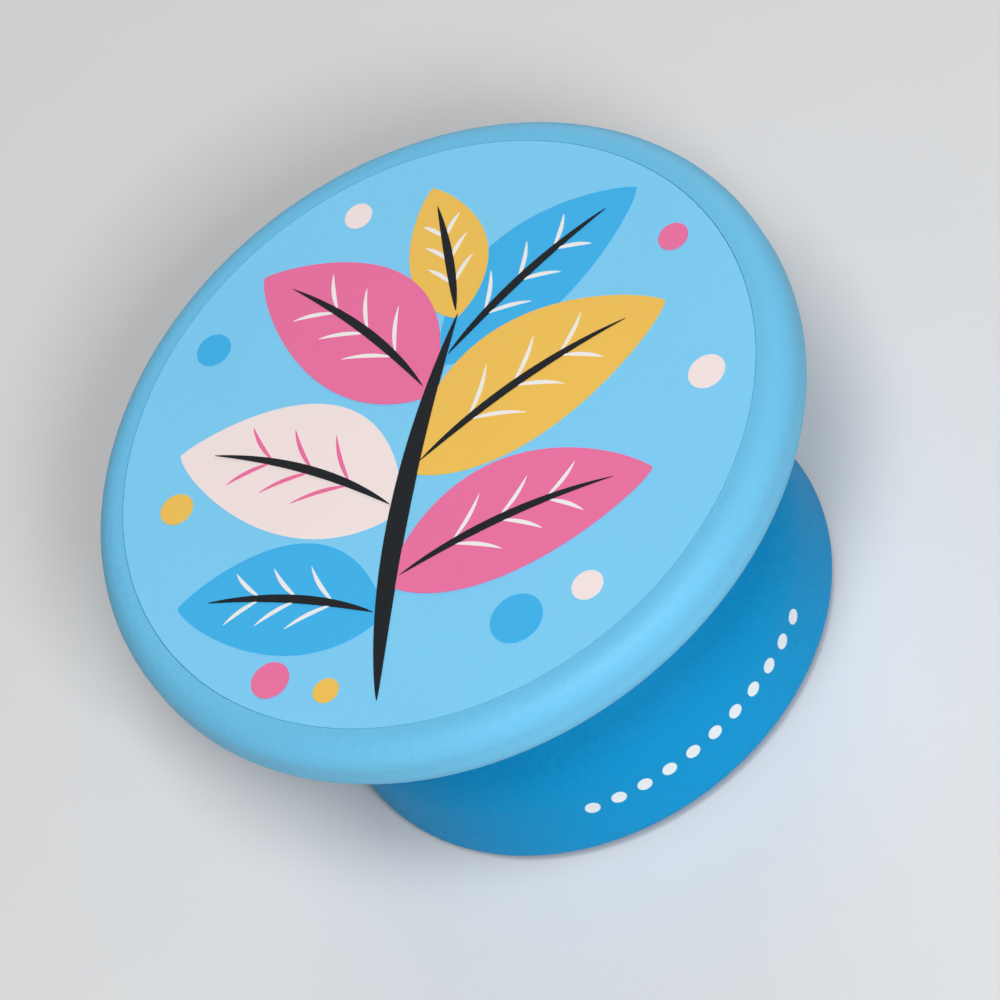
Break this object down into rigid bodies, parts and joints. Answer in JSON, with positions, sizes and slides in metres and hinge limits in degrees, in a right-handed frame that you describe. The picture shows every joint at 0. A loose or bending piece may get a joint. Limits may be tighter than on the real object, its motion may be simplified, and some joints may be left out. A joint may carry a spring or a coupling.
{
  "type": "collapsible phone grip",
  "caption": "Round printed disc on a soft folding accordion with a sticky base, which pulls out from a phone's back as a finger hold and pushes flat.",
  "frame": {"origin": "middle of the sticky face, on the phone's back", "axes": "+Z out of the phone along the grip's axis, which the disc turns about; X and Y across the disc"},
  "size_m": [0.04, 0.04, 0.021],
  "materials": {
    "foam_tape": "matte",
    "base_plastic": "satin",
    "soft_moulding": "satin",
    "collar_plastic": "satin",
    "disc_plastic": "satin",
    "printed_laminate": "satin"
  },
  "bodies": {
    "base": {"adhesive_pad": "foam_tape", "base_plate": "base_plastic", "accordion": "soft_moulding"},
    "neck": {"neck_collar": "collar_plastic"},
    "disc": {"top_disc": "disc_plastic", "printed_face": "printed_laminate"}
  },
  "joints": [
    {"name": "collapse", "type": "slide", "parent": "base", "child": "neck", "axis": [0, 0, 1], "range_m": [-0.0124, 0], "deforming": ["accordion"]},
    {"name": "disc_swivel", "type": "hinge", "parent": "neck", "child": "disc", "pos_m": [0, 0, 0.0179], "axis": [0, 0, 1], "continuous": true}
  ]
}
